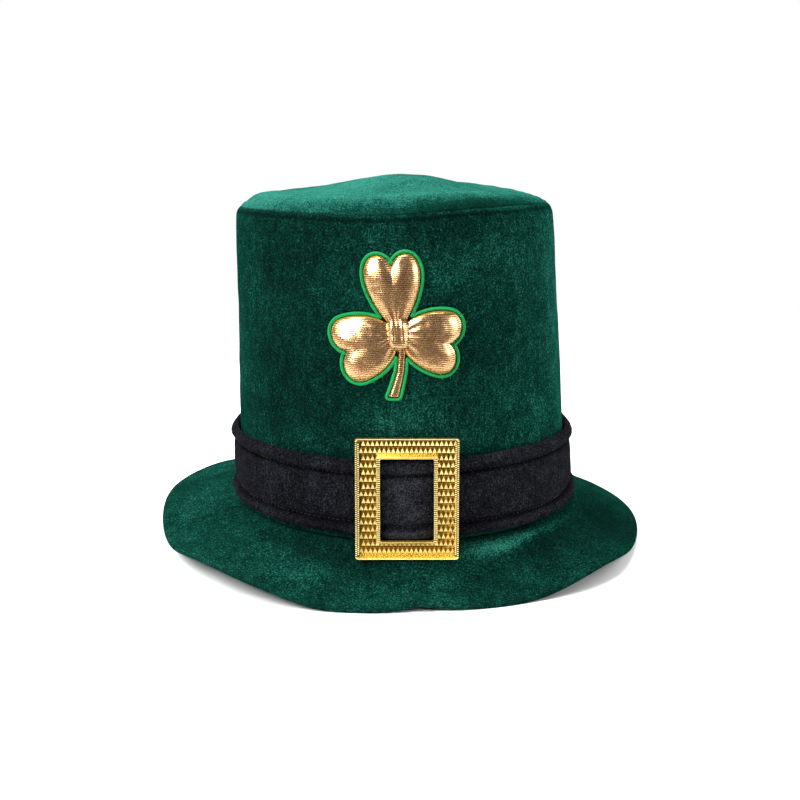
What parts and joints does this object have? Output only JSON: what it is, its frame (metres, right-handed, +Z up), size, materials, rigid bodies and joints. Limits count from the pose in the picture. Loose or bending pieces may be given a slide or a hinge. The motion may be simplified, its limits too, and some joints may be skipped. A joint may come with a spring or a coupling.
{
  "type": "leprechaun hat",
  "caption": "Tall soft costume hat with a drooping padded brim, a black band with a square buckle, and a padded gold shamrock on the front.",
  "frame": {"origin": "on the surface that the hat rests on, in the middle of its outline", "axes": "+Z up through the crown, -Y towards the front, where the buckle and the shamrock are"},
  "size_m": [0.2904, 0.2796, 0.2161],
  "materials": {
    "green_velour": "deep green velour with a brushed nap",
    "black_velour": "charcoal black velour",
    "gold_plastic": "metallised gold, glossy, with milled rims and pyramid studs",
    "gold_cloth": "shiny ribbed gold cloth",
    "green_thread": "satin stitch"
  },
  "bodies": {
    "root": {"crown_wall": "green_velour", "crown_tip": "green_velour", "brim": "green_velour", "hat_band": "black_velour", "buckle": "gold_plastic", "shamrock_pad": "gold_cloth", "shamrock_edging": "green_thread"}
  },
  "joints": []
}
